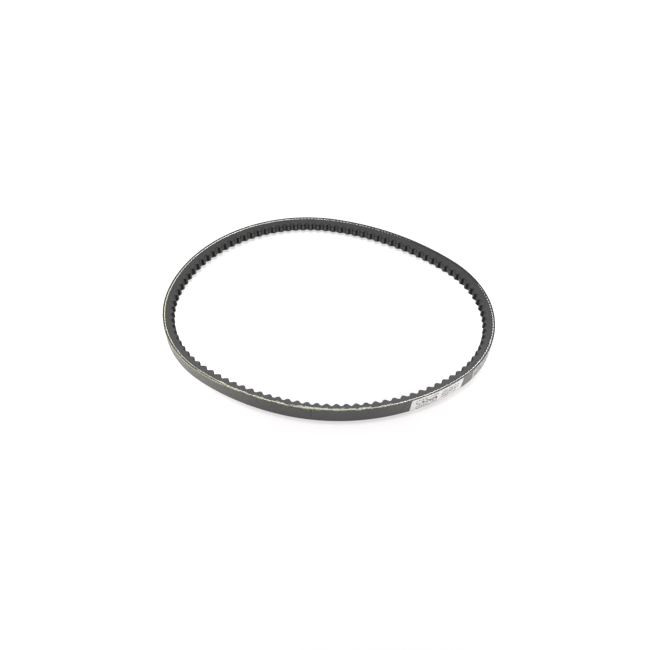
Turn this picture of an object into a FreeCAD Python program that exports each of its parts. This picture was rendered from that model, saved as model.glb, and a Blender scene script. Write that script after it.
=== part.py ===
"""Raw-edge cogged V-belt, 13 mm section, lying at rest on one raw side face.

The belt is one endless ring of bonded layers, built up from the back inwards:
backing fabric, overcord rubber, outer gum, tensile cord, inner gum, compression
rubber with moulded cogs, and a thin fabric facing over the cogs. The finished
sleeve is cut to width, so every layer ends flush in the two leaning raw sides.
Two thin printed films are transferred onto the back.

Frame: millimetres, +Z up. The back stands vertical and its lower corner touches
the floor at z = 0. The origin is the centre of the bounding box's bottom face.
A place in the section is given by its depth below the back and its height z.
"""
import os
from math import cos, hypot, pi, radians, sin, sqrt, tan

import FreeCAD, Part

V = FreeCAD.Vector

# Section
TOP_WIDTH = 13.6             # width of the back
HEIGHT = 10.0                # back to cog tips
FLANK_ANGLE = 20.0           # lean of each raw side, a 40 degree wedge in all
BACKING = 0.55               # woven backing fabric
OVERCORD = 0.45              # tension rubber above the gum
GUM = 0.8                    # each of the two gum sheets that meet at the cord line
CORD_DIA = 1.0
CORD_TURNS = 11              # the first and the last are sliced in half by the raw sides
FACING = 0.45                # fabric over the cogs

# Length and cogs
CORD_LENGTH = 850.0          # along the cord line, the length that never stretches
COGS = 104
GROOVE_DEPTH = 2.9
GROOVE_RADIUS = 1.8          # rounded groove floor
TIP_RADIUS = 1.2             # rounded cog corners
TIP_FLAT = 0.9               # straight stretch across a cog tip
FIRST_GROOVE = 0.9           # first groove, in pitches from the start of the loop

# Rest shape: tangent arcs run counterclockwise, each as back radius and turn in degrees.
# The two closing arcs take whatever radii bring the loop back to its start.
REST_ARCS = [(98.0, 96.0), (222.0, 35.0), (131.0, 94.0), (102.0, 61.0)]
CLOSING_TURNS = [22.0, 52.0]
START_NORMAL = -52.4         # direction the back faces at the start of the loop

# Printed films: first and last direction of the back, and slant of the ends
FILM = 0.12
FILM_MARGIN = 0.4            # bare edge left above and below
LABELS = {
    "label_main": (-69.2, -52.2, 1.2),
    "label_small": (-44.8, -24.6, -1.0),
}

# Derived sizes
LEAN = tan(radians(FLANK_ANGLE))
PITCH = CORD_LENGTH / COGS
GUM_TOP = BACKING + OVERCORD
CORD_DEPTH = GUM_TOP + GUM
CORD_WINDING = (TOP_WIDTH - 2 * CORD_DEPTH * LEAN) / (CORD_TURNS - 1)
RUBBER_TOP = CORD_DEPTH + GUM


def heading_change(start, turn):
    """Return the x and y travelled along a unit arc that starts facing START degrees."""
    first = radians(start)
    last = radians(start + turn)
    return cos(last) - cos(first), sin(last) - sin(first)


def rest_loop():
    """Return the arcs of the back as (centre, radius, first normal, turn), centred."""
    turns = [turn for _, turn in REST_ARCS] + CLOSING_TURNS
    normals = [START_NORMAL]
    for turn in turns:
        normals.append(normals[-1] + turn)
    steps = [heading_change(normal, turn) for normal, turn in zip(normals, turns)]
    radii = [radius for radius, _ in REST_ARCS]
    gap_x = -sum(radius * step[0] for radius, step in zip(radii, steps))
    gap_y = -sum(radius * step[1] for radius, step in zip(radii, steps))
    (ax, ay), (bx, by) = steps[-2:]
    det = ax * by - bx * ay
    radii.append((gap_x * by - bx * gap_y) / det)
    radii.append((ax * gap_y - gap_x * ay) / det)

    back_length = sum(radius * radians(turn) for radius, turn in zip(radii, turns))
    scale = (CORD_LENGTH + 2 * pi * CORD_DEPTH) / back_length
    arcs = []
    point = V(0, 0, 0)
    for radius, normal, turn, step in zip(radii, normals, turns, steps):
        radius *= scale
        outward = V(cos(radians(normal)), sin(radians(normal)), 0)
        arcs.append((point - outward * radius, radius, normal, turn))
        point = point + V(step[0], step[1], 0) * radius

    right = back_facing(arcs, 0).x
    far = back_facing(arcs, 90).y
    left = back_facing(arcs, 180).x
    near = back_facing(arcs, 270).y
    middle = V((right + left) / 2, (far + near) / 2, 0)
    return [(centre - middle, radius, normal, turn) for centre, radius, normal, turn in arcs]


def back_facing(arcs, direction):
    """Return the point of the back that faces DIRECTION degrees."""
    for centre, radius, normal, turn in arcs:
        if 0 <= (direction - normal) % 360 <= turn:
            angle = radians(direction)
            return centre + V(cos(angle), sin(angle), 0) * radius


ARCS = rest_loop()


def side_low(depth):
    """Height of the lower raw side at a depth below the back."""
    return depth * LEAN


def side_high(depth):
    """Height of the upper raw side at a depth below the back."""
    return TOP_WIDTH - depth * LEAN


def layer_face(radius, top, bottom):
    """Section of a layer between two depths, on an arc of the given back radius."""
    corners = [
        V(radius - top, 0, side_low(top)),
        V(radius - bottom, 0, side_low(bottom)),
        V(radius - bottom, 0, side_high(bottom)),
        V(radius - top, 0, side_high(top)),
    ]
    return Part.Face(Part.makePolygon(corners + corners[:1]))


def cord_discs(radius):
    """Round sections of every turn of the cord, on an arc of the given back radius."""
    discs = []
    for turn in range(CORD_TURNS):
        height = TOP_WIDTH / 2 + (turn - (CORD_TURNS - 1) / 2) * CORD_WINDING
        middle = V(radius - CORD_DEPTH, 0, height)
        circle = Part.makeCircle(CORD_DIA / 2, middle, V(0, 1, 0))
        discs.append(Part.Face(Part.Wire(circle)))
    return discs


def sweep(faces, arc):
    """Turn flat sections about the centre of one arc."""
    centre, _, normal, turn = arc
    solids = []
    for face in faces:
        solid = face.revolve(V(0, 0, 0), V(0, 0, 1), turn)
        solid.rotate(V(0, 0, 0), V(0, 0, 1), normal)
        solid.translate(centre)
        solids.append(solid)
    return solids


def join(solids):
    """Fuse the arcs of one ring into one clean solid."""
    return solids[0].multiFuse(solids[1:]).removeSplitter()


def layer_ring(top, bottom, channels=False):
    """Endless layer between two depths, with channels for the cord where it meets it."""
    pieces = []
    for arc in ARCS:
        face = layer_face(arc[1], top, bottom)
        if channels:
            face = face.cut(Part.makeCompound(cord_discs(arc[1]))).Faces[0]
        pieces += sweep([face], arc)
    return join(pieces)


def cord_rings():
    """Turns of the tensile cord, the outermost two sliced by the raw sides."""
    pieces = [[] for _ in range(CORD_TURNS)]
    for arc in ARCS:
        section = layer_face(arc[1], GUM_TOP, RUBBER_TOP)
        discs = cord_discs(arc[1])
        for turn in (0, CORD_TURNS - 1):
            discs[turn] = discs[turn].common(section).Faces[0]
        for turn, solid in enumerate(sweep(discs, arc)):
            pieces[turn].append(solid)
    return Part.makeCompound([join(ring) for ring in pieces])


def belt_place(along):
    """Arc centre, back radius and outward direction at a length along the cord line."""
    along %= CORD_LENGTH
    for centre, radius, normal, turn in ARCS:
        length = (radius - CORD_DEPTH) * radians(turn)
        if along <= length:
            angle = radians(normal) + along / (radius - CORD_DEPTH)
            return centre, radius, V(cos(angle), sin(angle), 0)
        along -= length


def groove_half(inset):
    """Right half of a groove as (offset, depth) points, moved INSET into the cogs."""
    floor_depth = HEIGHT - GROOVE_DEPTH + GROOVE_RADIUS
    tip_depth = HEIGHT - TIP_RADIUS
    tip_offset = (PITCH - TIP_FLAT) / 2
    # The flank touches both rounds, so its normal follows from their two centres
    rise = tip_depth - floor_depth
    span = hypot(tip_offset, rise)
    reach = GROOVE_RADIUS + TIP_RADIUS
    run = sqrt(span**2 - reach**2)
    normal_x = (reach * tip_offset + run * rise) / span**2
    normal_y = (reach * rise - run * tip_offset) / span**2
    middle = hypot(normal_x, normal_y - 1)
    floor_radius = GROOVE_RADIUS + inset
    tip_radius = TIP_RADIUS - inset
    return {
        "floor": (0, floor_depth - floor_radius),
        "flank_in": (floor_radius * normal_x, floor_depth + floor_radius * normal_y),
        "flank_out": (tip_offset - tip_radius * normal_x, tip_depth - tip_radius * normal_y),
        "corner": (
            tip_offset - tip_radius * normal_x / middle,
            tip_depth - tip_radius * (normal_y - 1) / middle,
        ),
        "tip": (tip_offset, tip_depth + tip_radius),
    }


def cog_outline(inset):
    """Closed outline of the cogs seen along Z, moved INSET into the rubber."""
    half = groove_half(inset)
    edges = []
    last = None
    first = None
    for number in range(COGS):
        centre, radius, outward = belt_place((number + FIRST_GROOVE) * PITCH)
        forward = V(-outward.y, outward.x, 0)

        def place(name, side):
            offset, depth = half[name]
            return centre + outward * (radius - depth) + forward * (side * offset)

        start = place("tip", -1)
        if last:
            edges.append(Part.makeLine(last, start))
        first = first or start
        corner = Part.Arc(start, place("corner", -1), place("flank_out", -1))
        edges.append(corner.toShape())
        edges.append(Part.makeLine(place("flank_out", -1), place("flank_in", -1)))
        floor = Part.Arc(place("flank_in", -1), place("floor", 1), place("flank_in", 1))
        edges.append(floor.toShape())
        edges.append(Part.makeLine(place("flank_in", 1), place("flank_out", 1)))
        last = place("tip", 1)
        corner = Part.Arc(place("flank_out", 1), place("corner", 1), last)
        edges.append(corner.toShape())
    edges.append(Part.makeLine(last, first))
    return Part.Wire(edges)


def loop_outline(depth):
    """Closed outline of the loop at a depth below the back, seen along Z."""
    edges = []
    for centre, radius, normal, turn in ARCS:
        circle = Part.makeCircle(radius - depth, centre, V(0, 0, 1), normal, normal + turn)
        edges.append(circle)
    return Part.Wire(edges)


def upright(outer, inner):
    """Wall as wide as the back between two closed outlines."""
    face = Part.makeFace([outer, inner], "Part::FaceMakerBullseye")
    return face.extrude(V(0, 0, TOP_WIDTH))


def label_film(first, last, slant):
    """Thin printed film on the back, its two ends slanting by SLANT from bottom to top."""
    low = FILM_MARGIN
    high = TOP_WIDTH - FILM_MARGIN
    band = Part.makeFace([loop_outline(-FILM), loop_outline(0)], "Part::FaceMakerBullseye")
    band.translate(V(0, 0, low))
    begin = back_facing(ARCS, first)
    end = back_facing(ARCS, last)
    forward = (end - begin).normalize()
    outward = V(forward.y, -forward.x, 0)
    lean = forward * (slant / 2)
    outline = [
        begin - lean + V(0, 0, low),
        end - lean + V(0, 0, low),
        end + lean + V(0, 0, high),
        begin + lean + V(0, 0, high),
    ]
    block = Part.Face(Part.makePolygon(outline + outline[:1])).extrude(outward * (2 * HEIGHT))
    block.translate(outward * -HEIGHT)
    return band.extrude(V(0, 0, high - low)).common(block)


wedge = layer_ring(RUBBER_TOP, HEIGHT + 1)
rubber_outline = cog_outline(FACING)

parts = {
    "backing_fabric": layer_ring(0, BACKING),
    "overcord_rubber": layer_ring(BACKING, GUM_TOP),
    "outer_gum": layer_ring(GUM_TOP, CORD_DEPTH, channels=True),
    "tensile_cord": cord_rings(),
    "inner_gum": layer_ring(CORD_DEPTH, RUBBER_TOP, channels=True),
    "compression_rubber": upright(loop_outline(GUM_TOP), rubber_outline).common(wedge),
    "cog_facing": upright(rubber_outline, cog_outline(0)).common(wedge),
}
for name, label in LABELS.items():
    parts[name] = label_film(*label)

os.makedirs("parts", exist_ok=True)
for name, shape in parts.items():
    shape.exportStep(f"parts/{name}.step")
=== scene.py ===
"""Looks of the raw-edge cogged V-belt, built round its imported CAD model.

Lengths of the belt are millimetres until a mesh is made; the stage is in metres. A place on
the belt is given by S, the length along the cord line counterclockwise from the start of the
loop, T, the depth below the back, and Z, the height above the floor. Every mesh carries those
three numbers in its "belt" attribute, so weave, fibres and twist follow the belt round its loop.
"""

import bmesh
import bpy
import numpy as np
from mathutils import Matrix, Vector


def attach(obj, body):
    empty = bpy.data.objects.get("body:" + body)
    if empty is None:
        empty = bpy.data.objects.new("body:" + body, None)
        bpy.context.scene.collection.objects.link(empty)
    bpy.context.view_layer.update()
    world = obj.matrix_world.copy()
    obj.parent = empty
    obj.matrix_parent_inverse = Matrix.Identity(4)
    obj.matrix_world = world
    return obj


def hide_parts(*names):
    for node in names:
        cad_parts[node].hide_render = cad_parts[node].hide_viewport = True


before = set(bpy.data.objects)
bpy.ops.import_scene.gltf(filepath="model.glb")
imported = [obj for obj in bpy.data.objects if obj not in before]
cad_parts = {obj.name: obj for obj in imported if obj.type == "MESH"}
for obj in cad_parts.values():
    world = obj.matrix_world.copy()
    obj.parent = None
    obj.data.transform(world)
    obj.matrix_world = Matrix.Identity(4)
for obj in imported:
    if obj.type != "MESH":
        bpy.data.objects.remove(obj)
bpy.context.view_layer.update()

MM = 0.001
TAU = 2 * np.pi

# The belt's section and length, as in the CAD
WIDTH = 13.6
HEIGHT = 10.0
LEAN = np.tan(np.radians(20.0))
BACKING = 0.55
GUM_TOP = 1.0
CORD_DEPTH = 1.8
RUBBER_TOP = 2.6
CORD_TURNS = 11
CORD_WINDING = (WIDTH - 2 * CORD_DEPTH * LEAN) / (CORD_TURNS - 1)
FACING = 0.45
LENGTH = 850.0
COGS = 104
PITCH = LENGTH / COGS
GROOVE_DEPTH = 2.9
GROOVE_RADIUS = 1.8
TIP_RADIUS = 1.2
TIP_FLAT = 0.9
FIRST_GROOVE = 0.9
START_NORMAL = -52.4
ARC_RADII = (98.0, 222.0, 131.0, 102.0)
ARC_TURNS = (96.0, 35.0, 94.0, 61.0, 22.0, 52.0)

# What only the finish needs
CORD_LAY = 10.3              # length of one full twist of the cord
CORD_RADIUS = 0.53           # 0.5 in the CAD, swelled a little where it is sliced
CORD_SURFACES = 242.0        # where the top turn of the cord comes up through the raw side
CORD_SIDES = 8
STRANDS_SHOW = 900.0         # length at each end of the cord that is made strand by strand
THREADS = 1.15               # threads per millimetre in the backing, on the bias
FACING_THREADS = 2.4
LAPS = (716.0, 664.0)        # where each lap of the backing begins
LAP_RUN = 7.0
CLUMP = 26                   # loose filaments that stand together
YARN = (552.0, 640.0, 664.0)  # where the pulled yarn begins, turns inwards and ends
FILM_MARGIN = 0.4
FILM_CORNER = 0.8
FILM_RISE = 0.075            # how far the face of a film stands off the back
PRINT_RISE = 0.118           # and the face of its print
# First and last direction of the back under a label, and the slant of its ends
LABELS = {"label_main": (-69.2, -52.2, 1.2), "label_small": (-44.8, -24.6, -1.0)}
# Rows of print: start from the label's end, height above the floor, how tall, cell, cells, inked
MAIN_ROWS = (
    (4.6, 9.9, 1.5, 1.9, 11, 0.50),
    (4.6, 5.2, 3.4, 2.9, 7, 0.62),
    (4.6, 2.6, 1.4, 1.7, 12, 0.50),
    (4.6, 0.9, 1.0, 1.7, 12, 0.40),
    (29.0, 8.8, 1.8, 2.2, 8, 0.50),
    (29.0, 5.4, 2.5, 2.5, 7, 0.55),
    (29.0, 2.4, 1.6, 2.0, 8, 0.50))
SMALL_ROWS = (
    (3.0, 8.4, 1.5, 2.4, 9, 0.5),
    (3.0, 4.8, 1.8, 2.4, 9, 0.5),
    (3.0, 2.0, 1.2, 2.0, 9, 0.4))
# Patches of loose filaments on the upper raw side: begin, end, count, depth, spread, lift
CORD_FUZZ = (
    (640.0, 694.0, 800, 2.3, 0.30, 0.20),
    (690.0, 752.0, 2100, 2.6, 0.50, 0.35),
    (748.0, 780.0, 800, 2.2, 0.45, 0.30),
    (780.0, 806.0, 200, 1.9, 0.20, 0.15),
    (240.0, 345.0, 26, 2.2, 0.10, 0.03),
    (345.0, 640.0, 260, 1.8, 0.18, 0.08),
    (0.0, 110.0, 90, 1.8, 0.15, 0.08))
CORNER_FUZZ = (
    (690.0, 776.0, 1100, 1.0, 0.50, 0.25),
    (650.0, 694.0, 160, 1.2, 0.5, 0.2),
    (780.0, 850.0, 60, 1.3, 0.3, 0.08))
# Seams of the backing: place along the belt and how dark they show
SEAMS = ((718.6, 0.6), (674.5, 0.35))
# Stretches with a look of their own, as the S where it comes in, is full, fades and is gone
SHEEN_AND_DUST = (540.0, 575.0, 600.0, 700.0)
YELLOWED = (440.0, 540.0, 700.0, 800.0)
FRAYED = (640.0, 690.0, 800.0, 835.0)
random = np.random.default_rng(7)


# ---------------------------------------------------------------- the loop

def rest_loop():
    """Centres, back radii, starting directions and turns of the six tangent arcs."""
    turns = np.radians(ARC_TURNS)
    edges = np.radians(START_NORMAL) + np.concatenate([[0], np.cumsum(turns)])
    steps = np.stack([np.diff(np.cos(edges)), np.diff(np.sin(edges))])
    known = len(ARC_RADII)
    radii = np.array(ARC_RADII + (0.0, 0.0))
    # The last two arcs take whatever radii bring the loop back to its start
    radii[known:] = np.linalg.solve(steps[:, known:], -steps[:, :known] @ radii[:known])
    radii *= (LENGTH + TAU * CORD_DEPTH) / (radii @ turns)
    corners = np.concatenate([[[0.0, 0.0]], np.cumsum((steps * radii).T, axis=0)])
    outward = np.stack([np.cos(edges[:-1]), np.sin(edges[:-1])], axis=1)
    centres = corners[:-1] - outward * radii[:, None]
    extremes = []
    for direction in np.radians([0, 90, 180, 270]):
        arc = np.argmax((direction - edges[:-1]) % TAU <= turns)
        compass = np.array([np.cos(direction), np.sin(direction)])
        extremes.append(centres[arc] + radii[arc] * compass)
    right, far, left, near = extremes
    middle = np.array([right[0] + left[0], far[1] + near[1]]) / 2
    return centres - middle, radii, edges[:-1], turns


CENTRES, RADII, STARTS, TURNS = rest_loop()
BEGINS = np.concatenate([[0], np.cumsum((RADII - CORD_DEPTH) * TURNS)])


def arc_at(s):
    """Centre, back radius and outward direction at each length S."""
    s = np.mod(s, LENGTH)
    arc = np.clip(np.searchsorted(BEGINS, s, side="right") - 1, 0, len(TURNS) - 1)
    angle = STARTS[arc] + (s - BEGINS[arc]) / (RADII[arc] - CORD_DEPTH)
    return CENTRES[arc], RADII[arc], angle


def place(belt):
    """Points in space for an array of (S, T, Z)."""
    centre, radius, angle = arc_at(belt[..., 0])
    reach = radius - belt[..., 1]
    x = centre[..., 0] + reach * np.cos(angle)
    y = centre[..., 1] + reach * np.sin(angle)
    return np.stack([x, y, belt[..., 2]], axis=-1)


def facing_to_length(degrees):
    """Length S where the back faces a direction."""
    angle = np.radians(degrees)
    arc = np.argmax((angle - STARTS) % TAU <= TURNS)
    return BEGINS[arc] + (RADII[arc] - CORD_DEPTH) * ((angle - STARTS[arc]) % TAU)


def side_high(t):
    """Height of the upper raw side at a depth."""
    return WIDTH - t * LEAN


def side_low(t):
    """Height of the lower raw side at a depth."""
    return t * LEAN


def ripple(s, t, seed, wavelength):
    """Smooth unevenness between about -1 and 1 that joins up round the loop."""
    waves = 7
    phases = np.random.default_rng(seed)
    total = np.zeros(np.broadcast(s, t).shape)
    for _ in range(waves):
        cycles = np.rint(LENGTH / wavelength * phases.uniform(0.5, 1.6))
        across = TAU / wavelength * phases.uniform(-1.0, 1.0)
        total += np.sin(TAU * cycles * s / LENGTH + across * t + phases.uniform(0, TAU))
    return total / np.sqrt(waves * 2)


def groove(inset):
    """One groove from tip to tip as (offset along the belt, depth), moved INSET inwards."""
    floor_depth = HEIGHT - GROOVE_DEPTH + GROOVE_RADIUS
    tip_depth = HEIGHT - TIP_RADIUS
    tip_offset = (PITCH - TIP_FLAT) / 2
    rise = tip_depth - floor_depth
    span = np.hypot(tip_offset, rise)
    reach = GROOVE_RADIUS + TIP_RADIUS
    flank = np.arctan2(reach, np.sqrt(span**2 - reach**2)) + np.arctan2(tip_offset, rise)
    flank = np.pi - flank
    turn = np.linspace(0, flank, 7)
    floor_x = (GROOVE_RADIUS + inset) * np.sin(turn)
    floor_t = floor_depth - (GROOVE_RADIUS + inset) * np.cos(turn)
    turn = np.linspace(flank, 0, 8)
    tip_x = tip_offset - (TIP_RADIUS - inset) * np.sin(turn)
    tip_t = tip_depth + (TIP_RADIUS - inset) * np.cos(turn)
    middle_x = (floor_x[-1] + tip_x[0]) / 2
    middle_t = (floor_t[-1] + tip_t[0]) / 2
    x = np.concatenate([floor_x, [middle_x], tip_x])
    t = np.concatenate([floor_t, [middle_t], tip_t])
    return np.concatenate([-x[:0:-1], x]), np.concatenate([t[:0:-1], t])


def cog_wave(inset):
    """S and T of the cog outline all round the loop."""
    x, t = groove(inset)
    starts = (np.arange(COGS) + FIRST_GROOVE) * PITCH
    _, radius, _ = arc_at(starts)
    radius = radius[:, None]
    angle = np.arctan2(x, radius - t)
    s = starts[:, None] + angle * (radius - CORD_DEPTH)
    depth = radius - np.hypot(radius - t, x)
    # Two more stations across each tip
    following_s = np.roll(s[:, :1], -1, axis=0)
    following_s[-1] += LENGTH
    following_t = np.roll(depth[:, :1], -1, axis=0)
    for share in (1 / 3, 2 / 3):
        across = s[:, x.size - 1:x.size] * (1 - share) + following_s * share
        level = depth[:, x.size - 1:x.size] * (1 - share) + following_t * share
        s = np.concatenate([s, across], axis=1)
        depth = np.concatenate([depth, level], axis=1)
    return s.ravel(), depth.ravel()


# ---------------------------------------------------------------- meshes

def make_mesh(name, belt, faces, material, strand=None, caps=None):
    """Object from (S, T, Z) vertices and faces, carrying the belt attribute on its corners.

    CAPS are faces with another number of corners. STRAND is one more number at each vertex.
    """
    groups = [faces] if caps is None else [faces, caps]
    corners = []
    for group in groups:
        places = belt[group]
        # A face across the join reads S past the full length instead of from 0
        s = places[..., 0]
        places[..., 0] = s + LENGTH * ((s.max(axis=1, keepdims=True) - s) > LENGTH / 2)
        corners.append(places.astype(np.float32).ravel())
    mesh = bpy.data.meshes.new(name)
    polygons = [face for group in groups for face in group.tolist()]
    mesh.from_pydata((place(belt) * MM).tolist(), [], polygons)
    attribute = mesh.attributes.new("belt", "FLOAT_VECTOR", "CORNER")
    attribute.data.foreach_set("vector", np.concatenate(corners))
    if strand is not None:
        attribute = mesh.attributes.new("strand", "FLOAT", "POINT")
        attribute.data.foreach_set("value", strand.astype(np.float32))
    mesh.polygons.foreach_set("use_smooth", np.ones(len(mesh.polygons), bool))
    mesh.materials.append(material)
    mesh.update()
    item = bpy.data.objects.new(name, mesh)
    bpy.context.scene.collection.objects.link(item)
    return item


def grid_faces(rows, columns, wrap_rows=True, wrap_columns=True):
    """Quads of a grid of vertices."""
    i = np.arange(rows if wrap_rows else rows - 1)[:, None]
    j = np.arange(columns if wrap_columns else columns - 1)[None, :]
    i, j = np.broadcast_arrays(i, j)
    after_i = (i + 1) % rows
    after_j = (j + 1) % columns
    quads = np.stack([
        i * columns + j, after_i * columns + j, after_i * columns + after_j, i * columns + after_j,
    ], axis=-1)
    return quads.reshape(-1, 4)


def ring(name, belt, material):
    """Closed ring from a grid of sections, each section a closed outline."""
    rows, columns = belt.shape[:2]
    return make_mesh(name, belt.reshape(-1, 3), grid_faces(rows, columns), material)


def tubes(paths, radius, sides):
    """Vertices, faces and end caps of thin tubes. PATHS is (tubes, rows, 3), in (S, T, Z)."""
    count, rows = paths.shape[:2]
    along = np.gradient(paths, axis=1)
    along /= np.linalg.norm(along, axis=2, keepdims=True)
    lead = np.where(np.abs(along[..., 2:]) < 0.8, [0.0, 0.0, 1.0], [0.0, 1.0, 0.0])
    side = np.cross(along, lead)
    side /= np.linalg.norm(side, axis=2, keepdims=True)
    up = np.cross(side, along)
    turn = np.arange(sides) * TAU / sides
    radius = np.broadcast_to(radius, (count, rows))[..., None, None]
    skin = paths[:, :, None] + radius * (
        np.cos(turn)[:, None] * side[:, :, None] + np.sin(turn)[:, None] * up[:, :, None])
    one = grid_faces(rows, sides, wrap_rows=False)
    bases = (np.arange(count) * rows * sides)[:, None, None]
    faces = (one[None] + bases).reshape(-1, 4)
    corner = np.arange(sides)
    ends = np.stack([corner, (rows - 1) * sides + corner[::-1]])
    caps = (ends[None] + bases).reshape(-1, sides)
    return skin.reshape(-1, 3), faces, caps


def stations(step):
    """Evenly spaced S round the whole loop."""
    return np.linspace(0, LENGTH, int(round(LENGTH / step)), endpoint=False)


# ---------------------------------------------------------------- materials

def new_material(name, **settings):
    """Material with a Principled shader and its tree."""
    material = bpy.data.materials.new(name)
    material.use_nodes = True
    tree = material.node_tree
    shader = tree.nodes["Principled BSDF"]
    for socket, value in settings.items():
        shader.inputs[socket.replace("_", " ")].default_value = value
    return material, tree, shader


def add(tree, kind, settings=None, **inputs):
    """Node with its settings; each input, by name or as i and its number, is a value or a link."""
    node = tree.nodes.new(kind)
    for key, value in (settings or {}).items():
        setattr(node, key, value)
    for key, value in inputs.items():
        numbered = key[0] == "i" and key[1:].isdigit()
        socket = node.inputs[int(key[1:]) if numbered else key]
        if isinstance(value, bpy.types.NodeSocket):
            tree.links.new(value, socket)
        else:
            socket.default_value = value
    return node


def calc(tree, operation, *values):
    """Math node on up to three values."""
    inputs = {f"i{number}": value for number, value in enumerate(values)}
    return add(tree, "ShaderNodeMath", {"operation": operation}, **inputs).outputs[0]


def belt_coordinates(tree):
    """The belt attribute and its three parts, in millimetres."""
    vector = add(tree, "ShaderNodeAttribute", {"attribute_name": "belt"}).outputs["Vector"]
    parts = add(tree, "ShaderNodeSeparateXYZ", Vector=vector).outputs
    return vector, parts["X"], parts["Y"], parts["Z"]


def stretched(tree, vector, scale):
    """Coordinates multiplied part by part."""
    node = add(tree, "ShaderNodeVectorMath", {"operation": "MULTIPLY"}, i0=vector, i1=scale)
    return node.outputs[0]


def noise(tree, vector, scale, detail=3.0, roughness=0.55):
    """Noise value from 0 to 1."""
    return add(tree, "ShaderNodeTexNoise", Vector=vector, Scale=scale, Detail=detail,
               Roughness=roughness).outputs["Fac"]


def levels(tree, value, low, high, to_low=0.0, to_high=1.0):
    """Clamped remap of a value."""
    node = add(tree, "ShaderNodeMapRange", {"interpolation_type": "SMOOTHSTEP"}, Value=value)
    ends = {"From Min": low, "From Max": high, "To Min": to_low, "To Max": to_high}
    for key, number in ends.items():
        node.inputs[key].default_value = number
    return node.outputs["Result"]


def band(tree, value, starts, full, fades, ends):
    """One over a range of a value, and less towards its two ends."""
    return calc(tree, "MULTIPLY", levels(tree, value, starts, full),
                levels(tree, value, ends, fades))


def blend(tree, factor, first, second):
    """Colour between two colours."""
    node = add(tree, "ShaderNodeMix", {"data_type": "RGBA"})
    for key, value in (("Factor", factor), (6, first), (7, second)):
        socket = node.inputs[key]
        if isinstance(value, bpy.types.NodeSocket):
            tree.links.new(value, socket)
        else:
            socket.default_value = value
    return node.outputs[2]


def bump(tree, shader, height, distance):
    """Bump in millimetres of height."""
    node = add(tree, "ShaderNodeBump", Height=height, Strength=1.0, Distance=distance * MM)
    tree.links.new(node.outputs["Normal"], shader.inputs["Normal"])


def grey(value, warmth=0.0):
    """Grey of a brightness, tinted towards yellow by WARMTH."""
    return (value * (1 + warmth), value, value * (1 - warmth), 1.0)


def weave_height(tree, first, second):
    """Plain weave from two thread coordinates, one unit per thread."""
    over_first = calc(tree, "ABSOLUTE", calc(tree, "SINE", calc(tree, "MULTIPLY", first, np.pi)))
    over_second = calc(tree, "ABSOLUTE", calc(tree, "SINE", calc(tree, "MULTIPLY", second, np.pi)))
    parity = calc(tree, "ADD", calc(tree, "FLOOR", first), calc(tree, "FLOOR", second))
    odd = calc(tree, "ABSOLUTE", calc(tree, "MODULO", parity, 2.0))
    swap = calc(tree, "GREATER_THAN", odd, 0.5)
    one = calc(tree, "MULTIPLY", over_first, calc(tree, "MULTIPLY_ADD", over_second, 0.6, 0.4))
    two = calc(tree, "MULTIPLY", over_second, calc(tree, "MULTIPLY_ADD", over_first, 0.6, 0.4))
    mixed = add(tree, "ShaderNodeMix", {"data_type": "FLOAT"})
    tree.links.new(swap, mixed.inputs[0])
    tree.links.new(one, mixed.inputs[2])
    tree.links.new(two, mixed.inputs[3])
    return mixed.outputs[0]


def fabric_material():
    """Bias-woven backing, soaked in black rubber, with a seam of gum at each lap."""
    material, tree, shader = new_material(
        "backing_fabric", Sheen_Weight=0.12, Sheen_Roughness=0.4)
    vector, s, t, z = belt_coordinates(tree)
    across = calc(tree, "ADD", z, t)
    warp = calc(tree, "MULTIPLY", calc(tree, "ADD", s, across), THREADS)
    weft = calc(tree, "MULTIPLY", calc(tree, "SUBTRACT", s, across), THREADS)
    weave = weave_height(tree, warp, weft)
    patches = noise(tree, stretched(tree, vector, (0.4, 1.0, 1.0)), 0.09, 4.0)
    grain = noise(tree, vector, 1.7, 5.0, 0.7)
    streak = noise(tree, stretched(tree, vector, (1.0, 0.2, 0.2)), 0.8, 3.0, 0.6)
    base = blend(tree, levels(tree, weave, 0.15, 0.95), grey(0.018, 0.02), grey(0.038, 0.02))
    base = blend(tree, levels(tree, patches, 0.35, 0.7), base, grey(0.034, 0.06))
    base = blend(tree, levels(tree, streak, 0.55, 0.75, 0.0, 0.35), base, grey(0.055, 0.04))
    base = blend(tree, levels(tree, grain, 0.62, 0.8, 0.0, 0.45), base, grey(0.09, 0.06))
    # Paler and olive round the left side, where dust and painted grazing sheen lighten it, and a
    # little paler before the labels
    before_labels = levels(tree, s, 755.0, 800.0)
    dust_and_sheen = calc(tree, "MULTIPLY_ADD", before_labels, 0.35, band(tree, s, *SHEEN_AND_DUST))
    base = blend(tree, calc(tree, "MULTIPLY", dust_and_sheen, 0.8), base, (0.079, 0.079, 0.062, 1))
    # Painted sheen and reflection of the floor: the back paler between the labels
    sheen_between_labels = levels(tree, s, 14.5, 12.5, 0.0, 0.7)
    base = blend(tree, sheen_between_labels, base, (0.135, 0.132, 0.122, 1))
    gloss = 0.5
    for place_s, strength in SEAMS:
        away = calc(tree, "ABSOLUTE", calc(tree, "SUBTRACT", s, place_s))
        seam = calc(tree, "MULTIPLY", levels(tree, away, 0.3, 0.7, strength, 0.0),
                    levels(tree, z, 3.5, 5.5))
        base = blend(tree, seam, base, grey(0.003))
        gloss = calc(tree, "MULTIPLY_ADD", seam, -0.3, gloss)
    tree.links.new(gloss, shader.inputs["Specular IOR Level"])
    tree.links.new(base, shader.inputs["Base Color"])
    tree.links.new(levels(tree, grain, 0.2, 0.8, 0.30, 0.46), shader.inputs["Roughness"])
    height = calc(tree, "MULTIPLY_ADD", grain, 0.5, weave)
    bump(tree, shader, height, 0.06)
    return material


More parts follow.
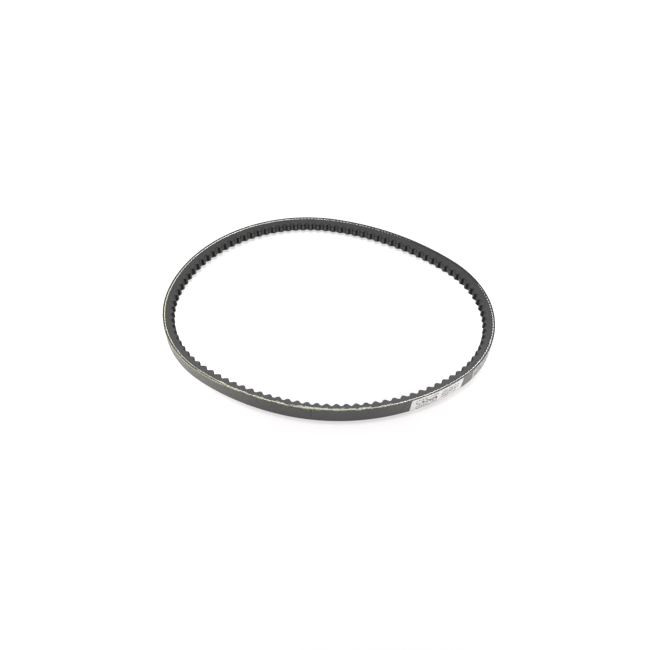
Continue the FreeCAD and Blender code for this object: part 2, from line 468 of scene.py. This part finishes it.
def rubber_material(name, tone, fleck_tone, fleck_share):
    """Cut rubber: knife drag along the belt and the pale ends of short fibres."""
    material, tree, shader = new_material(name, Specular_IOR_Level=0.5)
    vector = belt_coordinates(tree)[0]
    drag = noise(tree, stretched(tree, vector, (0.25, 3.0, 3.0)), 1.0, 5.0, 0.65)
    cloud = noise(tree, vector, 0.12, 3.0)
    fibres = stretched(tree, vector, (1.0, 2.2, 2.2))
    cells = add(tree, "ShaderNodeTexVoronoi", Vector=fibres, Scale=1.5)
    fleck = levels(tree, cells.outputs["Distance"], 0.10, 0.2, 1.0, 0.0)
    draw = add(tree, "ShaderNodeSeparateColor", Color=cells.outputs["Color"]).outputs[0]
    chosen = calc(tree, "LESS_THAN", draw, fleck_share)
    fleck = calc(tree, "MULTIPLY", fleck, chosen)
    base = blend(tree, levels(tree, drag, 0.3, 0.7), grey(tone * 0.75), grey(tone * 1.2))
    base = blend(tree, levels(tree, cloud, 0.4, 0.7, 0.0, 0.6), base, grey(tone * 1.35, 0.02))
    base = blend(tree, fleck, base, grey(fleck_tone, 0.04))
    tree.links.new(base, shader.inputs["Base Color"])
    tree.links.new(levels(tree, drag, 0.2, 0.8, 0.52, 0.77), shader.inputs["Roughness"])
    bump(tree, shader, calc(tree, "MULTIPLY_ADD", fleck, 0.6, drag), 0.05)
    return material


def facing_material():
    """Thin fabric moulded over the cogs: black, with painted light that makes it grey on the tips
    and in the grooves, which face the light.
    """
    material, tree, shader = new_material(
        "cog_facing", Specular_IOR_Level=0.12, Sheen_Weight=0.05, Sheen_Roughness=0.5)
    vector, s, t, z = belt_coordinates(tree)
    along = calc(tree, "MULTIPLY", s, FACING_THREADS)
    across = calc(tree, "MULTIPLY", z, FACING_THREADS)
    weave = weave_height(tree, along, across)
    worn = noise(tree, vector, 0.8, 5.0, 0.65)
    base = blend(tree, levels(tree, weave, 0.1, 0.9), grey(0.002), grey(0.006))
    groove_floor = HEIGHT - GROOVE_DEPTH
    # Painted light: grey where the cog tips and groove floors face the light, mottled by the
    # noise; the flanks stay black
    lit_tips_and_floors = calc(tree, "ADD", levels(tree, t, HEIGHT - 0.9, HEIGHT - 0.2),
                  levels(tree, t, groove_floor + 0.15, groove_floor + 0.8, 1.0, 0.0))
    lit_tips_and_floors = calc(tree, "MULTIPLY", lit_tips_and_floors, levels(tree, worn, 0.25, 0.65, 0.6, 1.0))
    base = blend(tree, lit_tips_and_floors, base, grey(0.064, 0.02))
    from_rim = calc(tree, "MINIMUM", z, calc(tree, "SUBTRACT", WIDTH, z))
    from_rim = calc(tree, "MULTIPLY_ADD", t, -LEAN, from_rim)
    base = blend(tree, levels(tree, from_rim, 0.1, 0.3, 1.0, 0.0), base, grey(0.001))
    tree.links.new(base, shader.inputs["Base Color"])
    tree.links.new(levels(tree, worn, 0.2, 0.8, 0.6, 0.85), shader.inputs["Roughness"])
    bump(tree, shader, calc(tree, "MULTIPLY_ADD", worn, 0.4, weave), 0.04)
    return material


def cord_material():
    """Off-white polyester filaments, dark where a strand dips away from the cut: gum there, and
    painted shade in the grooves between the strands.
    """
    material, tree, shader = new_material(
        "cord", Specular_IOR_Level=0.3, Sheen_Weight=0.3, Sheen_Roughness=0.4)
    vector, s, t, _ = belt_coordinates(tree)
    strand = add(tree, "ShaderNodeAttribute", {"attribute_name": "strand"}).outputs["Fac"]
    filaments = noise(tree, stretched(tree, vector, (1.0, 6.0, 6.0)), 1.6, 3.0, 0.6)
    soil = noise(tree, vector, 0.9, 4.0, 0.6)
    stretch = noise(tree, stretched(tree, vector, (0.035, 0.0, 0.0)), 1.0, 2.0)
    raised = calc(tree, "ADD", strand, levels(tree, stretch, 0.35, 0.7, -0.15, 0.45))
    # Cleaner and more open at the far side and on its last stretch, where the knife ran deeper
    far_side = levels(tree, s, 470.0, 410.0)
    last_stretch = levels(tree, s, LENGTH - 10, LENGTH + 20)
    opened = calc(tree, "ADD", far_side, last_stretch)
    raised = calc(tree, "MULTIPLY_ADD", opened, 0.35, raised)
    from_front_left = calc(tree, "ABSOLUTE", calc(tree, "SUBTRACT", s, 605.0))
    clean = levels(tree, from_front_left, 135.0, 195.0)
    pale = blend(tree, filaments, (0.36, 0.355, 0.32, 1), (0.56, 0.55, 0.51, 1))
    pale = blend(tree, levels(tree, soil, 0.52, 0.75, 0.0, 0.6), pale, (0.36, 0.36, 0.23, 1))
    yellowed = calc(tree, "MULTIPLY", band(tree, s, *YELLOWED), 0.7)
    pale = blend(tree, yellowed, pale, (0.50, 0.49, 0.34, 1))
    pale = blend(tree, calc(tree, "MULTIPLY", clean, 0.85), pale, (0.80, 0.80, 0.77, 1))
    from_core = calc(tree, "ABSOLUTE", calc(tree, "SUBTRACT", t, CORD_DEPTH))
    # More of the strand shows where it is frayed
    narrowing = calc(tree, "MULTIPLY_ADD", band(tree, s, *FRAYED), -0.25, 1.0)
    from_core = calc(tree, "MULTIPLY", from_core, narrowing)
    # Dark between the strands: the gum, and painted shade in the grooves between them
    shown = calc(tree, "MULTIPLY", levels(tree, raised, -0.1, 0.4),
                 levels(tree, from_core, 0.24, 0.42, 1.0, 0.0))
    base = blend(tree, shown, (0.05, 0.05, 0.04, 1), pale)
    tree.links.new(base, shader.inputs["Base Color"])
    tree.links.new(levels(tree, soil, 0.2, 0.8, 0.6, 0.85), shader.inputs["Roughness"])
    bump(tree, shader, filaments, 0.03)
    return material


def yarn_material(name, pale, shade):
    """Loose polyester filaments, tinted by the rubber they were soaked in."""
    material, tree, shader = new_material(
        name, Specular_IOR_Level=0.3, Sheen_Weight=0.3, Sheen_Roughness=0.4)
    vector, s, t, z = belt_coordinates(tree)
    across = calc(tree, "MULTIPLY", calc(tree, "ADD", t, z), 20.0)
    twist = calc(tree, "MULTIPLY_ADD", s, 7.0, across)
    twist = calc(tree, "MULTIPLY_ADD", calc(tree, "SINE", twist), 0.5, 0.5)
    soil = noise(tree, vector, 0.7, 4.0, 0.6)
    base = blend(tree, levels(tree, twist, 0.0, 0.7), shade, pale)
    base = blend(tree, levels(tree, soil, 0.5, 0.8, 0.0, 0.8), base, shade)
    tree.links.new(base, shader.inputs["Base Color"])
    tree.links.new(levels(tree, soil, 0.2, 0.8, 0.6, 0.85), shader.inputs["Roughness"])
    bump(tree, shader, twist, 0.02)
    return material


def film_material(name, tone, worn_tone, wear):
    """Matt transfer film with scuffs that let the fabric show."""
    material, tree, shader = new_material(name, Specular_IOR_Level=0.35)
    vector = belt_coordinates(tree)[0]
    cloud = noise(tree, vector, 0.35, 4.0)
    scuff = noise(tree, stretched(tree, vector, (1.0, 1.0, 0.35)), 1.1, 6.0, 0.75)
    base = blend(tree, levels(tree, cloud, 0.3, 0.7), grey(tone, 0.012), grey(tone * 0.88, 0.025))
    base = blend(tree, levels(tree, scuff, 1.0 - wear, 1.14 - wear), base, grey(worn_tone, 0.04))
    tree.links.new(base, shader.inputs["Base Color"])
    tree.links.new(levels(tree, scuff, 0.2, 0.8, 0.45, 0.65), shader.inputs["Roughness"])
    bump(tree, shader, scuff, 0.03)
    return material


def ink_material():
    """Dark print, faded in patches."""
    material, tree, shader = new_material("print_ink", Specular_IOR_Level=0.3)
    vector = belt_coordinates(tree)[0]
    faded = noise(tree, vector, 1.2, 4.0, 0.7)
    base = blend(tree, levels(tree, faded, 0.4, 0.75), grey(0.03), grey(0.12))
    tree.links.new(base, shader.inputs["Base Color"])
    tree.links.new(levels(tree, faded, 0.2, 0.8, 0.5, 0.7), shader.inputs["Roughness"])
    bump(tree, shader, faded, 0.01)
    return material


# ---------------------------------------------------------------- pieces

def backing_fabric(material):
    """Backing ply with eased corners, two laps and a slightly uneven surface."""
    s = stations(0.8)[:, None]
    # Outline: up the back, over the raw edge, down the bonded side, under
    ease_z, ease_t = np.array([0.06, 0.16]), np.array([0.10, 0.03])
    z_back = np.concatenate([ease_z, np.linspace(0.5, WIDTH - 0.5, 22), WIDTH - ease_z[::-1]])
    t_back = np.concatenate([ease_t, np.zeros(22), ease_t[::-1]])
    t_edge = np.array([0.16, 0.3, 0.45, BACKING])
    t = np.concatenate([t_back, t_edge, t_edge[::-1]])[None, :]
    z = np.concatenate([z_back, side_high(t_edge), side_low(t_edge[::-1])])[None, :]
    t, z, s = np.broadcast_arrays(t, z, s)
    t, z = t.copy(), z.copy()
    outer = slice(1, z_back.size - 1)
    high_edge = slice(z_back.size, z_back.size + t_edge.size)
    lap = 0.0
    for start in LAPS:
        into = np.mod(s[:, outer] - start - 0.35 * (z[:, outer] - 6.5), LENGTH)
        raised = np.clip(into / 0.5, 0, 1) * np.clip((LAP_RUN - into) / 6.0, 0, 1)
        lap = lap + np.where(into < LAP_RUN, raised, 0)
    t[:, outer] += 0.035 + 0.03 * ripple(s[:, outer], z[:, outer], 3, 9.0) - 0.10 * lap
    t[:, outer] += 0.012 * ripple(s[:, outer], z[:, outer], 4, 2.2)
    z[:, high_edge] += 0.02 * ripple(s[:, high_edge], t[:, high_edge], 5, 1.8)
    return ring("backing_ply", np.stack([s, t, z], axis=-1), material)


def plain_layer(name, top, bottom, material):
    """Rubber layer flush in both raw sides, its cut faces a little uneven."""
    s = stations(1.0)[:, None]
    columns = 4
    t_high = np.linspace(top, bottom, columns)
    t = np.concatenate([t_high, t_high[::-1]])[None, :]
    z = np.concatenate([side_high(t_high), side_low(t_high[::-1])])[None, :]
    t, z, s = np.broadcast_arrays(t, z, s)
    z = z.copy()
    uneven = cut_unevenness(s, t)
    z[:, :columns] += uneven[:, :columns]
    z[:, columns:] -= uneven[:, columns:]
    return ring(name, np.stack([s, t, z], axis=-1), material)


def cut_unevenness(s, t):
    """How far a raw side stands off its plane."""
    return -0.03 + 0.025 * ripple(s, t, 11, 14.0) + 0.012 * ripple(s, t, 12, 2.5)


def compression_rubber(material):
    """Cogged body, its raw sides uneven from the knife."""
    s, depth = cog_wave(FACING)
    s, depth = s[:, None], depth[:, None]
    share = np.array([0, 0.12, 0.25, 0.4, 0.55, 0.7, 0.82, 0.92, 1.0])[None, :]
    t = RUBBER_TOP + (depth - RUBBER_TOP) * share
    t = np.concatenate([t, t[:, ::-1]], axis=1)
    s = np.broadcast_to(s, t.shape)
    count = share.size
    uneven = cut_unevenness(s, t)
    z = np.concatenate([
        side_high(t[:, :count]) + uneven[:, :count],
        side_low(t[:, count:]) - uneven[:, count:]], axis=1)
    return ring("cogged_rubber", np.stack([s, t, z], axis=-1), material)


def cog_facing(material):
    """Fabric skin over cogs and grooves, with softened edges."""
    inner_s, inner_t = cog_wave(0.0)
    outer_s, outer_t = cog_wave(FACING)
    share = np.array([0, 0.02, 0.08, 0.2, 0.35, 0.5, 0.65, 0.8, 0.92, 0.98, 1.0])[None, :]
    ease = np.array([0.16, 0.05, 0, 0, 0, 0, 0, 0, 0, 0.05, 0.16])[None, :]
    t = inner_t[:, None] - ease
    low, high = side_low(t), side_high(t)
    z = low + (high - low) * share
    s = np.broadcast_to(inner_s[:, None], t.shape)
    t = t - 0.02 - 0.025 * ripple(s, z, 21, 3.0) * (ease == 0)
    wall = np.stack([s, t, z], axis=-1)
    t = np.stack([outer_t, outer_t], axis=1)
    s = np.stack([outer_s, outer_s], axis=1)
    z = np.stack([side_high(outer_t), side_low(outer_t)], axis=1)
    uneven = cut_unevenness(s, t)
    z = z + uneven * [1, -1]
    hidden = np.stack([s, t, z], axis=-1)
    outline = np.concatenate([wall, hidden], axis=1)
    return ring("cog_skin", outline[:, ::-1], material)


def sliced(t, z, centre_t, centre_z, size, proud):
    """Round sections cut flat by the upper raw side: T, Z and which sections are left.

    A point beyond the cut comes back to the chord, and a section wholly beyond it to one point.
    """
    slope = np.hypot(1.0, LEAN)
    to_cut = (side_high(centre_t) + proud - centre_z) / slope
    out = ((t - centre_t) * LEAN + z - centre_z) / slope
    along = (t - centre_t - (z - centre_z) * LEAN) / slope
    past = out > to_cut
    gone = past.all(axis=1, keepdims=True)
    half = np.where(gone, 0, np.sqrt(np.maximum(size**2 - to_cut**2, 0)))
    along = np.where(past, np.clip(along, -half, half), along)
    out = np.minimum(out, to_cut)
    t = centre_t + (out * LEAN + along) / slope
    z = centre_z + (out - along * LEAN) / slope
    return t, z, ~gone


def tensile_cord(material):
    """One three-strand cord wound across the width and sliced where it leaves the belt."""
    low = side_low(CORD_DEPTH) - CORD_RADIUS
    high = side_high(CORD_DEPTH) + CORD_RADIUS
    total = (high - low) / CORD_WINDING * LENGTH
    hidden = 2 * CORD_RADIUS / CORD_WINDING * LENGTH
    finish = CORD_SURFACES + hidden
    strand_radius = CORD_RADIUS / (1 + 2 / np.sqrt(3))
    strand_reach = CORD_RADIUS - strand_radius
    turn = -np.arange(CORD_SIDES) * TAU / CORD_SIDES
    vertices, faces, raised, bases = [], [], [], [0]
    # Separate strands at both ends, where the cord shows, and one plain tube between them
    sections = (
        (0, STRANDS_SHOW, 0.5),
        (STRANDS_SHOW, total - STRANDS_SHOW, 3.0),
        (total - STRANDS_SHOW, total, 0.4))
    for begin, end, step in sections:
        run = np.linspace(begin, end, int((end - begin) / step))[:, None]
        middle = low + CORD_WINDING * run / LENGTH
        rows = len(run)
        fine = step < 1
        reach = strand_reach if fine else 0.0
        radius = strand_radius if fine else CORD_RADIUS * 0.9
        size = np.full((rows, 1), radius)
        size[[0, -1]] = 0.0
        for strand in range(3) if fine else (0,):
            twist = TAU * run / CORD_LAY + strand * TAU / 3
            centre_t = CORD_DEPTH + reach * np.cos(twist)
            centre_z = middle + reach * np.sin(twist)
            s = finish - total + run + 0 * turn
            proud = 0.05 + 0.03 * ripple(s[:, :1], centre_t, 31, 0.9)
            t = centre_t + size * np.cos(turn)
            z = centre_z + size * np.sin(turn)
            t, z, under = sliced(t, z, centre_t, centre_z, size, proud)
            # The lower raw side mirrors the upper one
            t, z, above = sliced(t, WIDTH - z, centre_t, WIDTH - centre_z, size, proud)
            vertices.append(np.stack([s, t, WIDTH - z], axis=-1).reshape(-1, 3))
            nearer = np.where(middle > WIDTH / 2, side_high(CORD_DEPTH), side_low(CORD_DEPTH))
            exposed = 1.0 - np.abs(reach * np.sin(twist) - (nearer - middle)) / radius
            raised.append(np.broadcast_to(exposed, s.shape).ravel())
            kept = (under & above)[:, 0]
            quads = grid_faces(rows, CORD_SIDES, wrap_rows=False).reshape(rows - 1, CORD_SIDES, 4)
            faces.append(quads[kept[:-1] | kept[1:]].reshape(-1, 4) + bases[-1])
            bases.append(bases[-1] + rows * CORD_SIDES)
    used, inverse = np.unique(np.concatenate(faces), return_inverse=True)
    belt, strand = np.concatenate(vertices)[used], np.concatenate(raised)[used]
    cord = make_mesh("wound_cord", belt, inverse.reshape(-1, 4), material, strand)
    # Tips and the edges of slices come to a point: merge what falls together, strand by strand
    skin = bmesh.new()
    skin.from_mesh(cord.data)
    corners = list(skin.verts)
    bounds = np.searchsorted(used, bases)
    for first, last in zip(bounds[:-1], bounds[1:]):
        bmesh.ops.remove_doubles(skin, verts=corners[first:last], dist=0.002 * MM)
    skin.to_mesh(cord.data)
    skin.free()
    return cord


def thread_ends(material):
    """Cut ends of the backing's threads along both raw sides."""
    count = 1100
    s = np.sort(random.uniform(0, LENGTH, count))
    t = np.where(np.arange(count) % 2, 0.2, 0.4) + random.uniform(-0.05, 0.05, count)
    lean = random.uniform(-0.25, 0.25, count)
    paths = []
    for side, sign in ((side_high, 1), (side_low, -1)):
        base = side(t)
        start = np.stack([s - lean, t, base - sign * 0.15], axis=-1)
        middle = np.stack([s, t, base + sign * 0.02], axis=-1)
        end = np.stack([s + lean, t, base + sign * random.uniform(0.02, 0.08, count)], axis=-1)
        paths.append(np.stack([start, middle, end], axis=1))
    belt, faces, caps = tubes(np.concatenate(paths), np.array([0.12, 0.12, 0.05]), 6)
    return make_mesh("thread_ends", belt, faces, material, caps=caps)


def edge_yarn(material):
    """Yarn of the backing pulled loose: it lies on the back, then climbs in to the cord."""
    begin, turns_in, end = YARN
    s = np.linspace(begin, end, 420)
    wander = 0.10 * ripple(s, 0 * s, 41, 24.0) + 0.05 * ripple(s, 0 * s, 42, 5.0)
    climb = np.clip((s - begin) / (turns_in - begin), 0, 1)
    inward = np.clip((s - turns_in) / (end - turns_in), 0, 1)
    centre_t = -0.08 + 1.9 * inward
    highest = side_high(np.maximum(centre_t, 0)) + 0.06
    centre_z = np.minimum(12.2 + 1.0 * climb + 1.2 * inward + wander, highest)
    paths = []
    for ply in (0, np.pi):
        twist = TAU * s / 2.9 + ply
        ply_t = centre_t + 0.09 * np.cos(twist)
        ply_z = centre_z + 0.09 * np.sin(twist)
        paths.append(np.stack([s, ply_t, ply_z], axis=-1))
    taper = 0.14 * np.clip(np.minimum(s - begin, end - s) / 12.0, 0.15, 1)
    belt, faces, caps = tubes(np.stack(paths), taper, 6)
    return make_mesh("edge_yarn", belt, faces, material, caps=caps)


def cross_threads(material):
    """Broken threads of the backing that bridge from the corner to the cord."""
    count = 12
    s = np.sort(random.uniform(612.0, 660.0, count))[:, None]
    share = np.linspace(0, 1, 5)[None, :]
    reach = random.uniform(1.6, 3.4, (count, 1))
    t = 0.12 + random.uniform(1.2, 1.8, (count, 1)) * share
    z = side_high(t) + 0.04 + random.uniform(0.05, 0.2, (count, 1)) * np.sin(np.pi * share)
    radii = np.array([0.07, 0.1, 0.11, 0.1, 0.06])
    belt, faces, caps = tubes(np.stack([s + reach * share, t, z], axis=-1), radii, 5)
    return make_mesh("cross_threads", belt, faces, material, caps=caps)


def fuzz(name, patches, material):
    """Short loose filaments on the raw side.

    A patch is (begin, end, count, depth, spread, lift).
    """
    paths = []
    for begin, end, count, depth, spread, lift in patches:
        clumps = max(3, count // CLUMP)
        middle_s = random.uniform(begin - 3, end + 3, clumps)
        middle_t = random.normal(0, spread, clumps)
        clump = random.integers(clumps, size=(count, 1))
        s = middle_s[clump] + random.normal(0, 0.45, (count, 1))
        share = np.linspace(0, 1, 4)[None, :]
        length = random.uniform(0.4, 1.7, (count, 1)) * random.choice([-1, 1], (count, 1))
        t = depth + middle_t[clump] + random.normal(0, 0.16, (count, 1))
        t = t + random.normal(0, 0.2, (count, 1)) * share
        t = np.clip(t, 0.05, 4.2)
        bend = random.uniform(0.5, 1.0, (count, 1))
        arch = random.uniform(0.0, lift, (count, 1)) * np.sin(np.pi * share * bend)
        z = side_high(np.maximum(t, 0)) - 0.02 + arch
        paths.append(np.stack([s + length * share, t, z], axis=-1))
    radii = np.array([0.055, 0.05, 0.045, 0.02])
    belt, faces, caps = tubes(np.concatenate(paths), radii, 3)
    return make_mesh(name, belt, faces, material, caps=caps)


def label_span(node):
    """Ends of a label in S at the middle of its height, and the slant of its ends."""
    first, last, slant = LABELS[node]
    begin, end = facing_to_length(first), facing_to_length(last)
    return begin, end + LENGTH * (end < begin), slant


def film(node, piece, material):
    """Film pressed onto the back, thin, with rounded corners and slanting ends."""
    begin, end, slant = label_span(node)
    rows, columns = 140, 26
    u = np.linspace(0, 1, rows)[:, None]
    v = np.linspace(0, 1, columns)[None, :]
    low, high = FILM_MARGIN, WIDTH - FILM_MARGIN
    z = low + (high - low) * v + 0 * u
    into_corner = np.maximum(FILM_CORNER - np.minimum(z - low, high - z), 0)
    pull = FILM_CORNER - np.sqrt(np.maximum(FILM_CORNER**2 - into_corner**2, 0))
    middle = (begin + end) / 2 + slant * (v - 0.5)
    half = (end - begin) / 2 - 0.05 - pull
    s = middle + half * (2 * u - 1)
    lift = 0.035 * ripple(s, z, 51, 6.0)
    top = np.stack([s, -FILM_RISE - lift, z], axis=-1)
    bottom = np.stack([s, 0.02 + 0 * z, z], axis=-1)
    vertices = np.concatenate([top.reshape(-1, 3), bottom.reshape(-1, 3)])
    front = grid_faces(rows, columns, False, False)
    back = front[:, ::-1] + rows * columns
    index = np.arange(rows * columns).reshape(rows, columns)
    rim = np.concatenate([index[:, 0], index[-1, 1:], index[-2::-1, -1], index[0, -2:0:-1]])
    after = np.roll(rim, -1)
    wall = np.stack([after, rim, rim + rows * columns, after + rows * columns], axis=1)
    return make_mesh(piece, vertices, np.concatenate([front, back, wall]), material)


# Sides of a pad of ink: corners 0 to 3 on its face, 4 to 7 under them
PAD_SIDES = ((0, 1, 2, 3), (0, 4, 5, 1), (1, 5, 6, 2), (2, 6, 7, 3), (3, 7, 4, 0), (4, 7, 6, 5))


def print_marks(node, piece, rows, material):
    """Rows of meaningless dot groups, each dot a thin pad of ink on the film."""
    begin, _, _ = label_span(node)
    vertices, faces = [], []
    for offset, low, height, pitch, cells, share in rows:
        dot_s, dot_z = pitch / 3.9, height / 4.4
        for cell in range(cells):
            dots = random.uniform(size=(3, 4)) < share
            for across, up in zip(*np.nonzero(dots)):
                s0 = begin + offset + cell * pitch + across * dot_s * 1.1
                z0 = low + up * dot_z * 1.1
                corners = [(s0, z0), (s0 + dot_s, z0), (s0 + dot_s, z0 + dot_z), (s0, z0 + dot_z)]
                base = len(vertices)
                for t in (-PRINT_RISE, -0.04):
                    vertices += [(s, t, z) for s, z in corners]
                faces += [[base + k for k in quad] for quad in PAD_SIDES]
    item = make_mesh(piece, np.array(vertices), np.array(faces), material)
    item.data.polygons.foreach_set("use_smooth", np.zeros(len(item.data.polygons), bool))
    return item


# ---------------------------------------------------------------- build

fabric = fabric_material()
body_rubber = rubber_material("belt_rubber", 0.017, 0.12, 0.16)
gum = rubber_material("gum_rubber", 0.008, 0.05, 0.05)
facing = facing_material()
cord_finish = cord_material()
loose_white = yarn_material("loose_filament", (0.74, 0.74, 0.68, 1), (0.26, 0.26, 0.20, 1))
loose_green = yarn_material("tinted_filament", (0.42, 0.44, 0.25, 1), (0.06, 0.07, 0.03, 1))
loose_yarn = yarn_material("loose_yarn", (0.60, 0.59, 0.45, 1), (0.20, 0.20, 0.12, 1))
thread_finish = yarn_material("thread_end", (0.07, 0.07, 0.06, 1), (0.02, 0.02, 0.018, 1))
film_finish = film_material("print_film", 0.68, 0.20, 0.33)
small_film_finish = film_material("small_print_film", 0.37, 0.10, 0.43)
ink = ink_material()

for piece, node, slot in (
        (backing_fabric(fabric), "backing_fabric", "backing_fabric"),
        (plain_layer("overcord", BACKING, GUM_TOP, gum), "overcord_rubber", "belt_rubber"),
        (plain_layer("gum_above", GUM_TOP, CORD_DEPTH, gum), "outer_gum", "gum_rubber"),
        (plain_layer("gum_below", CORD_DEPTH, RUBBER_TOP, gum), "inner_gum", "gum_rubber"),
        (compression_rubber(body_rubber), "compression_rubber", "belt_rubber"),
        (cog_facing(facing), "cog_facing", "cog_facing"),
        (tensile_cord(cord_finish), "tensile_cord", "cord"),
        (film("label_main", "label_film", film_finish), "label_main", "print_film"),
        (film("label_small", "small_label_film", small_film_finish), "label_small", "print_film")):
    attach(piece, "root")
    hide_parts(node)

for piece, slot in (
        (thread_ends(thread_finish), "backing_fabric"),
        (edge_yarn(loose_yarn), "backing_fabric"),
        (cross_threads(loose_white), "backing_fabric"),
        (fuzz("corner_fuzz", CORNER_FUZZ, loose_green), "backing_fabric"),
        (fuzz("cord_fuzz", CORD_FUZZ, loose_white), "cord"),
        (print_marks("label_main", "label_print", MAIN_ROWS, ink), "print_film"),
        (print_marks("label_small", "small_label_print", SMALL_ROWS, ink), "print_film")):
    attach(piece, "root")


# ---------------------------------------------------------------- stage

def floor():
    """Plain white table that glows, less round a spot just in front of the belt: painted light, so
    that shadows on it stay faint.
    """
    mesh = bpy.data.meshes.new("floor")
    half = 4.0
    corners = [(-half, -half, 0), (half, -half, 0), (half, half, 0), (-half, half, 0)]
    mesh.from_pydata(corners, [], [(0, 1, 2, 3)])
    item = bpy.data.objects.new("floor", mesh)
    bpy.context.scene.collection.objects.link(item)
    material, tree, shader = new_material("table", Roughness=0.9, Specular_IOR_Level=0.0)
    shader.inputs["Base Color"].default_value = (0.31, 0.295, 0.30, 1)
    shader.inputs["Emission Color"].default_value = (1, 1, 1, 1)
    where = add(tree, "ShaderNodeTexCoord").outputs["Object"]
    in_front = (0.03, -0.2, 0.0)
    away = add(tree, "ShaderNodeVectorMath", {"operation": "DISTANCE"}, i0=where, i1=in_front)
    away = away.outputs["Value"]
    glow = levels(tree, away, 0.10, 0.24, 0.44, 0.95)
    # Dimmer under the far side, where a thin shadow of the cogs shows
    glow = calc(tree, "MULTIPLY_ADD", band(tree, away, 0.25, 0.30, 0.36, 0.42), -0.37, glow)
    tree.links.new(glow, shader.inputs["Emission Strength"])
    mesh.materials.append(material)


def area_light(name, power, size, location, target=(0, 0, 0)):
    """Rectangular light that faces its target."""
    light = bpy.data.lights.new(name, "AREA")
    light.energy = power
    light.shape = "RECTANGLE"
    light.size, light.size_y = size
    item = bpy.data.objects.new(name, light)
    item.location = location
    aim = Vector(target) - Vector(location)
    item.rotation_euler = aim.to_track_quat("-Z", "Y").to_euler()
    bpy.context.scene.collection.objects.link(item)
    return item


def studio():
    """White surroundings, boxes at both sides, a low panel behind, a small lamp above."""
    world = bpy.data.worlds.new("studio")
    world.use_nodes = True
    background = world.node_tree.nodes["Background"]
    background.inputs["Color"].default_value = (1, 1, 1, 1)
    background.inputs["Strength"].default_value = 0.9
    bpy.context.scene.world = world
    area_light("left_box", 2.2, (0.4, 0.3), (-0.55, -0.15, 0.35), (-0.1, -0.06, 0.0))
    area_light("right_box", 2.0, (0.4, 0.3), (0.6, -0.2, 0.35), (0.1, -0.06, 0.0))
    area_light("back_panel", 12.5, (2.0, 0.6), (0.0, 1.5, 0.45))
    area_light("lamp", 4.0, (0.12, 0.12), (-0.03, 0.04, 0.75)).visible_glossy = False
    view = bpy.context.scene.view_settings
    view.view_transform = "Standard"
    view.look = "None"


def camera():
    """Camera in front of the belt, looking down on it from a little over half a metre away."""
    elevation = np.radians(46.70)
    roll = np.radians(-1.14)
    distance = 0.5778
    aim = Vector((-0.00271, -0.01897, 0.00031))
    right = np.array([1.0, 0.0, 0.0])
    up = np.array([0.0, np.sin(elevation), np.cos(elevation)])
    back = np.array([0.0, -np.cos(elevation), np.sin(elevation)])
    turned_right = np.cos(roll) * right - np.sin(roll) * up
    turned_up = np.sin(roll) * right + np.cos(roll) * up
    data = bpy.data.cameras.new("camera")
    data.sensor_width = 36.0
    data.lens = 34.99
    data.clip_start, data.clip_end = 0.01, 20.0
    item = bpy.data.objects.new("camera", data)
    turn = Matrix(np.column_stack([turned_right, turned_up, back]).tolist()).to_4x4()
    item.matrix_world = Matrix.Translation(aim + Vector(back) * distance) @ turn
    bpy.context.scene.collection.objects.link(item)
    bpy.context.scene.camera = item


floor()
studio()
camera()
